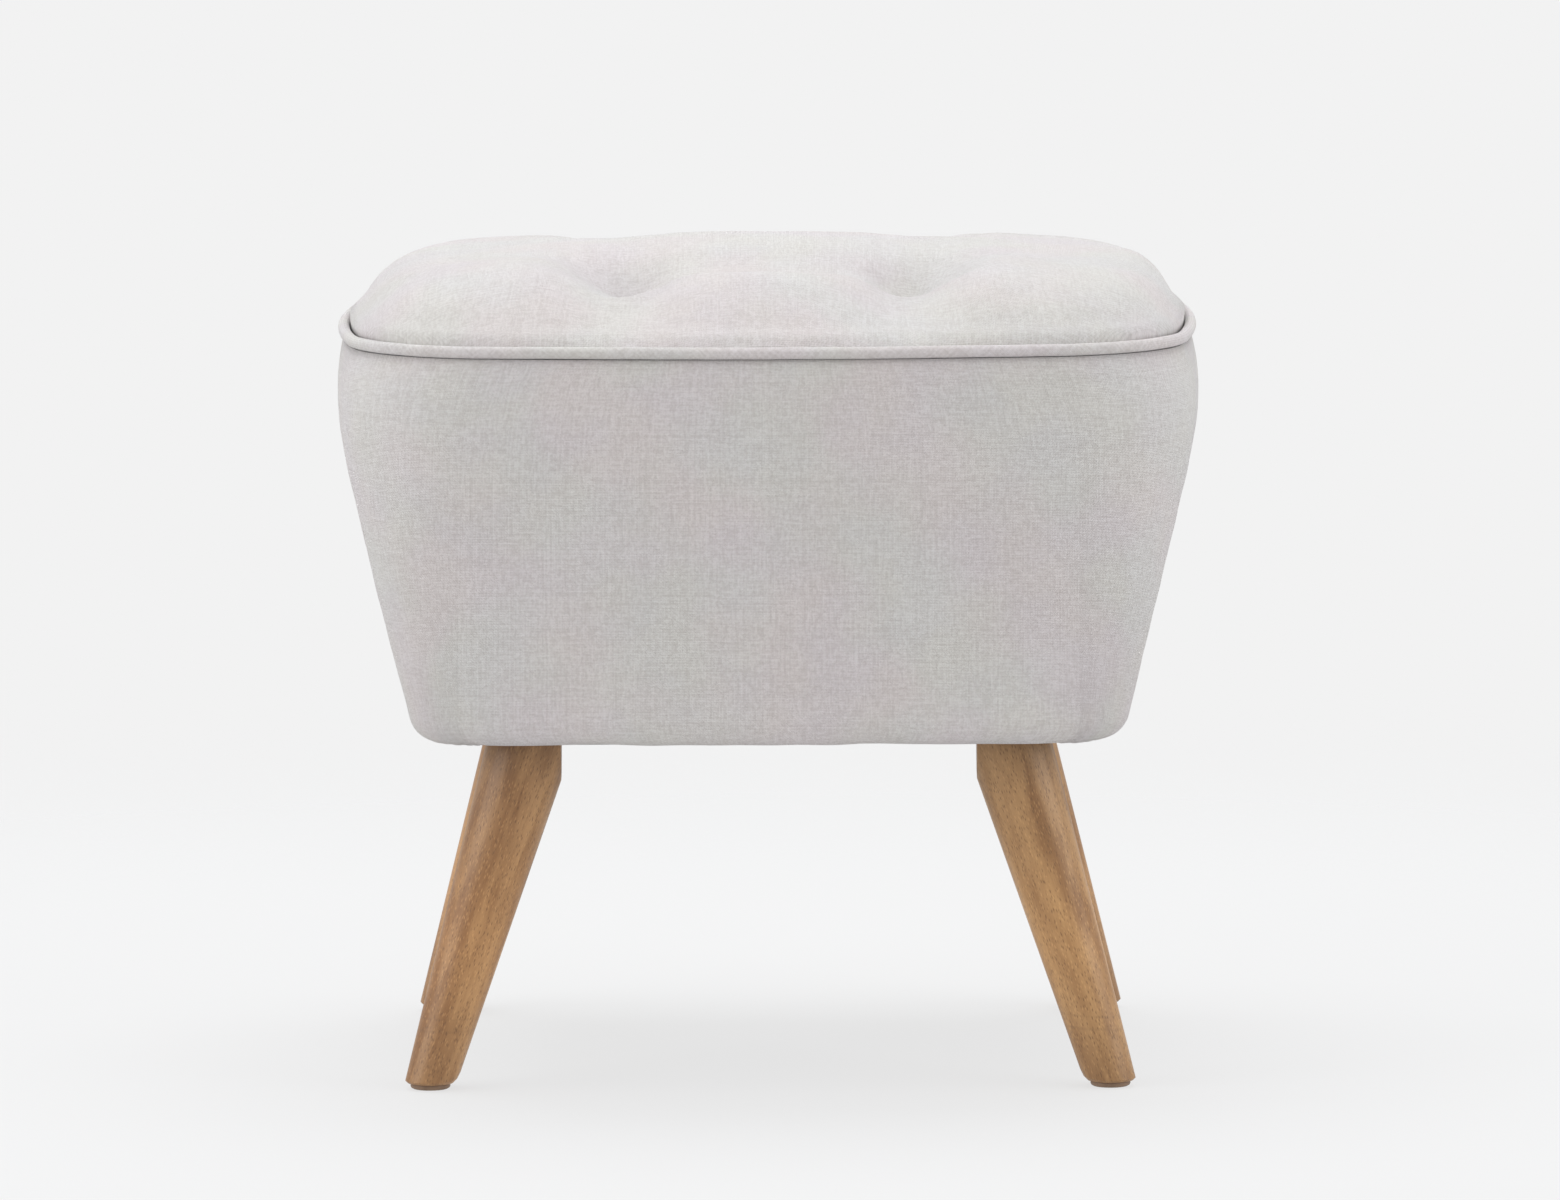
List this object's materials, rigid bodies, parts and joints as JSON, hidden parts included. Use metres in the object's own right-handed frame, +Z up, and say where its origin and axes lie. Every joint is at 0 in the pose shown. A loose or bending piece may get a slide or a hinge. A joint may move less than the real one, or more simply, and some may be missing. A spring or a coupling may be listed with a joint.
{
  "type": "ottoman",
  "caption": "Upholstered ottoman with a domed, tufted top, piping round its seam, sides that lean inwards and splayed turned wooden legs.",
  "frame": {"origin": "on the floor, under the middle of the body", "axes": "+Z up, -Y to the front, +X to the right seen from the front"},
  "size_m": [0.48, 0.4, 0.4585],
  "materials": {
    "cloth": "pale warm grey linen weave, matt",
    "wadding": "white polyester fibre",
    "foam": "cream open-cell foam",
    "plywood": "plain birch plywood, unfinished",
    "softwood": "plain pine, unfinished",
    "leg_wood": "fine-grained hardwood, golden brown stain, satin lacquer",
    "rail_wood": "plain hardwood, unfinished",
    "glide_plastic": "grey-beige nylon",
    "steel": "zinc plated",
    "brass": "plain",
    "twine": "waxed twine in the cloth's colour",
    "anchor_plastic": "white",
    "dust_sheet": "black non-woven sheet"
  },
  "bodies": {
    "root": {"seat_cover": "cloth", "side_cover": "cloth", "piping_sleeve": "cloth", "seat_wadding": "wadding", "piping_cord": "wadding", "seat_foam": "foam", "side_foam": "foam", "seat_deck": "plywood", "front_panel": "plywood", "rear_panel": "plywood", "left_panel": "plywood", "right_panel": "plywood", "corner_post_front_left": "softwood", "corner_post_front_right": "softwood", "corner_post_rear_left": "softwood", "corner_post_rear_right": "softwood", "leg_front_left": "leg_wood", "leg_front_right": "leg_wood", "leg_rear_left": "leg_wood", "leg_rear_right": "leg_wood", "leg_rail_left": "rail_wood", "leg_rail_right": "rail_wood", "glide_front_left": "glide_plastic", "glide_front_right": "glide_plastic", "glide_rear_left": "glide_plastic", "glide_rear_right": "glide_plastic", "glide_pins": "steel", "leg_bolts": "steel", "leg_washers": "steel", "panel_screws": "steel", "rail_screws": "steel", "deck_screws": "steel", "leg_inserts": "brass", "tuft_twines": "twine", "tuft_anchors": "anchor_plastic", "dust_cover": "dust_sheet"}
  },
  "joints": []
}
